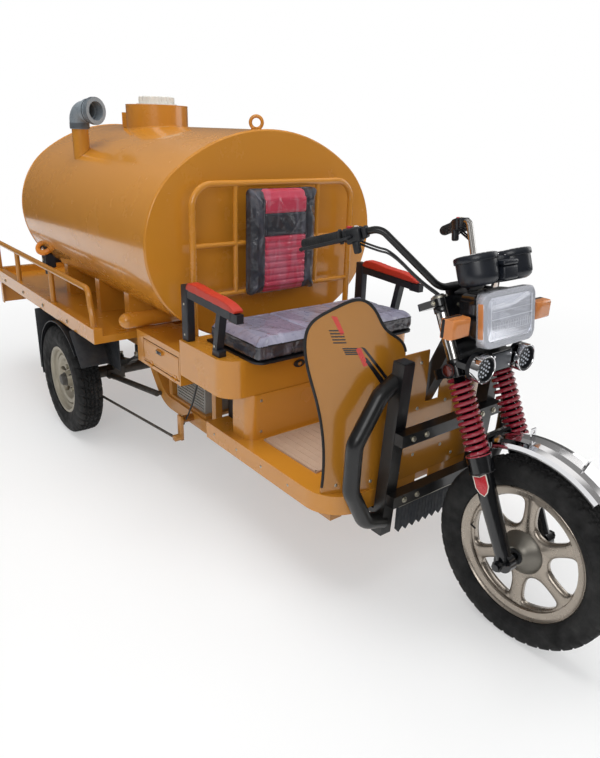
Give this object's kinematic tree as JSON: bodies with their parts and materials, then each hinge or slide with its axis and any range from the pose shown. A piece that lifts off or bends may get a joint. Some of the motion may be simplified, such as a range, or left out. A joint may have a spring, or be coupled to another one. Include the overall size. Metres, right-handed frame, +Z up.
{
  "type": "three-wheeled tank truck",
  "caption": "Electric three-wheeled cargo vehicle with an oval tank on an open bed, a railed seat, leg shield, bumper and a sprung fork.",
  "frame": {"origin": "on the floor under the middle of the vehicle's overall length and width", "axes": "+X forward, +Y to the vehicle's left, +Z up; its wheels stand on z = 0"},
  "size_m": [3.703, 1.296, 1.619],
  "materials": {
    "ochre_paint": "gloss enamel",
    "black_paint": "gloss enamel",
    "white_plastic": "moulded",
    "grey_plastic": "moulded pipe fitting",
    "valve_iron": "cast and painted, bright ring",
    "red_plastic": "lamp lens",
    "amber_plastic": "lamp lens",
    "control_grey": "satin",
    "black_plastic": "moulded, fine grain",
    "red_pad": "soft moulded pad",
    "seat_cover": "quilted synthetic leather",
    "backrest_cover": "ribbed synthetic leather",
    "beige_mat": "ribbed",
    "rubber_sheet": "ribbed",
    "tyre_rubber": "moulded",
    "wheel_silver": "satin cast",
    "steel": "zinc plated",
    "chrome": "mirror bright",
    "spring_red": "gloss",
    "lamp_glass": "clear, fluted",
    "spring_black": "satin"
  },
  "bodies": {
    "chassis": {"tank_heads": "ochre_paint", "filler_cap": "white_plastic", "tank_shell": "ochre_paint", "vent_elbow": "grey_plastic", "tank_pipes": "ochre_paint", "drain_valve": "valve_iron", "tank_cradles": "ochre_paint", "bed": "ochre_paint", "bed_rails": "ochre_paint", "rear_panel": "ochre_paint", "tail_lamps": "red_plastic", "main_frame": "ochre_paint", "front_frame": "ochre_paint", "rear_axle": "black_paint", "leaf_springs": "spring_black", "brake_rod": "black_paint", "rear_mudguards": "black_plastic", "seat_tray": "ochre_paint", "tool_boxes": "ochre_paint", "battery_box": "ochre_paint", "battery_pack": "black_plastic", "control_box": "control_grey", "backrest": "backrest_cover", "seat_rack": "ochre_paint", "armrest_frames": "black_plastic", "armrest_pads": "red_pad", "floor_pan": "ochre_paint", "floor_mat": "beige_mat", "leg_shield": "ochre_paint", "bumper": "black_paint", "mud_flap": "rubber_sheet"},
    "steering": {"fork_lowers": "black_paint", "fork_stanchions": "chrome", "fork_springs": "spring_red", "fork_yokes": "black_paint", "front_axle": "steel", "front_fender": "chrome", "headlamp_shell": "chrome", "headlamp_glass": "lamp_glass", "lamp_bracket": "black_paint", "spot_lamps": "black_plastic", "amber_lamps": "amber_plastic", "gauge_pods": "black_plastic", "handlebar": "chrome", "grips": "rubber_sheet", "bar_controls": "black_plastic"},
    "front_wheel": {"front_rim": "wheel_silver", "front_tyre": "tyre_rubber"},
    "rear_wheel_right": {"rear_rim_right": "wheel_silver", "rear_tyre_right": "tyre_rubber"},
    "rear_wheel_left": {"rear_rim_left": "wheel_silver", "rear_tyre_left": "tyre_rubber"},
    "seat_lid": {"seat_base": "black_plastic", "seat_cushion": "seat_cover"},
    "tool_door_r": {"tool_door_right": "ochre_paint"},
    "tool_door_l": {"tool_door_left": "ochre_paint"}
  },
  "joints": [
    {"name": "steering_turn", "type": "hinge", "parent": "chassis", "child": "steering", "pos_m": [1.20796, 0, 0.91134], "axis": [-0.4368, 0, 0.8996], "range_deg": [-40, 40]},
    {"name": "front_wheel_spin", "type": "hinge", "parent": "steering", "child": "front_wheel", "pos_m": [1.5515, 0, 0.3], "axis": [0, 1, 0], "continuous": true},
    {"name": "rear_wheel_right_spin", "type": "hinge", "parent": "chassis", "child": "rear_wheel_right", "pos_m": [-0.7055, -0.586, 0.274], "axis": [0, 1, 0], "continuous": true},
    {"name": "rear_wheel_left_spin", "type": "hinge", "parent": "chassis", "child": "rear_wheel_left", "pos_m": [-0.7055, 0.586, 0.274], "axis": [0, 1, 0], "continuous": true},
    {"name": "seat_lid_lift", "type": "hinge", "parent": "chassis", "child": "seat_lid", "pos_m": [0.3245, 0, 0.7188], "axis": [0, -1, 0], "range_deg": [0, 55]},
    {"name": "tool_door_right_drop", "type": "hinge", "parent": "chassis", "child": "tool_door_r", "pos_m": [0.0895, -0.481, 0.536], "axis": [1, 0, 0], "range_deg": [0, 90]},
    {"name": "tool_door_left_drop", "type": "hinge", "parent": "chassis", "child": "tool_door_l", "pos_m": [0.0895, 0.481, 0.536], "axis": [-1, 0, 0], "range_deg": [0, 90]}
  ]
}
